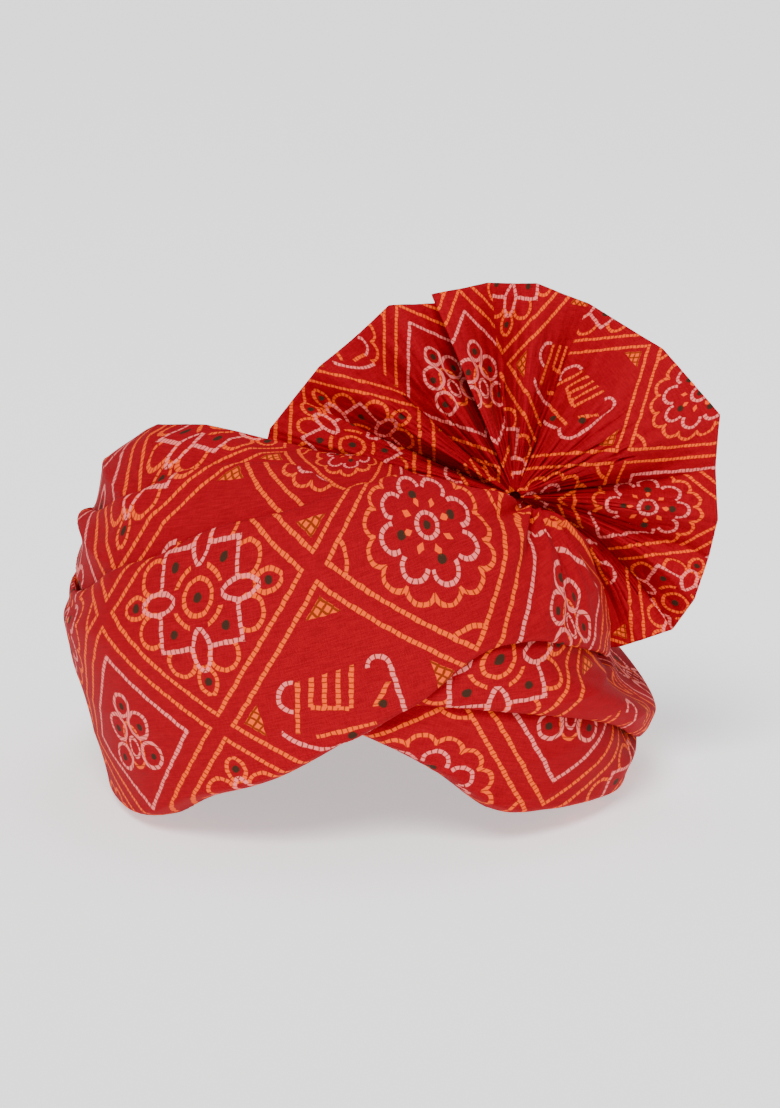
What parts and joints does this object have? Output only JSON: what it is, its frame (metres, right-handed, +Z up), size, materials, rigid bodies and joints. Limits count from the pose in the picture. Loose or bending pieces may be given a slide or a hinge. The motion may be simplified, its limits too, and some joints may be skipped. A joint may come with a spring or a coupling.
{
  "type": "tied turban pagri with a pleated fan",
  "caption": "Ready-tied turban of printed tie-dye cloth: crossing wraps wound over a padded head hollow, with a pleated fan standing at one side of the front.",
  "frame": {"origin": "middle of the whole turban seen from above, on the surface that its rim stands on", "axes": "+Z up, -Y towards the front that is worn over the forehead, +X towards the side with the fan"},
  "size_m": [0.2899, 0.2907, 0.2308],
  "materials": {
    "inner_cotton": "plain woven red cotton, matt",
    "printed_cotton": "fine woven red cotton with tie-dye pattern in orange and white, matt",
    "fan_cotton": "fine woven red cotton with tie-dye pattern, starched and pleated"
  },
  "bodies": {
    "root": {"inner_turns": "inner_cotton", "inner_cross_wrap": "printed_cotton", "outer_cross_wrap": "printed_cotton", "front_wrap": "printed_cotton", "pleated_fan": "fan_cotton", "fan_root": "printed_cotton"}
  },
  "joints": []
}
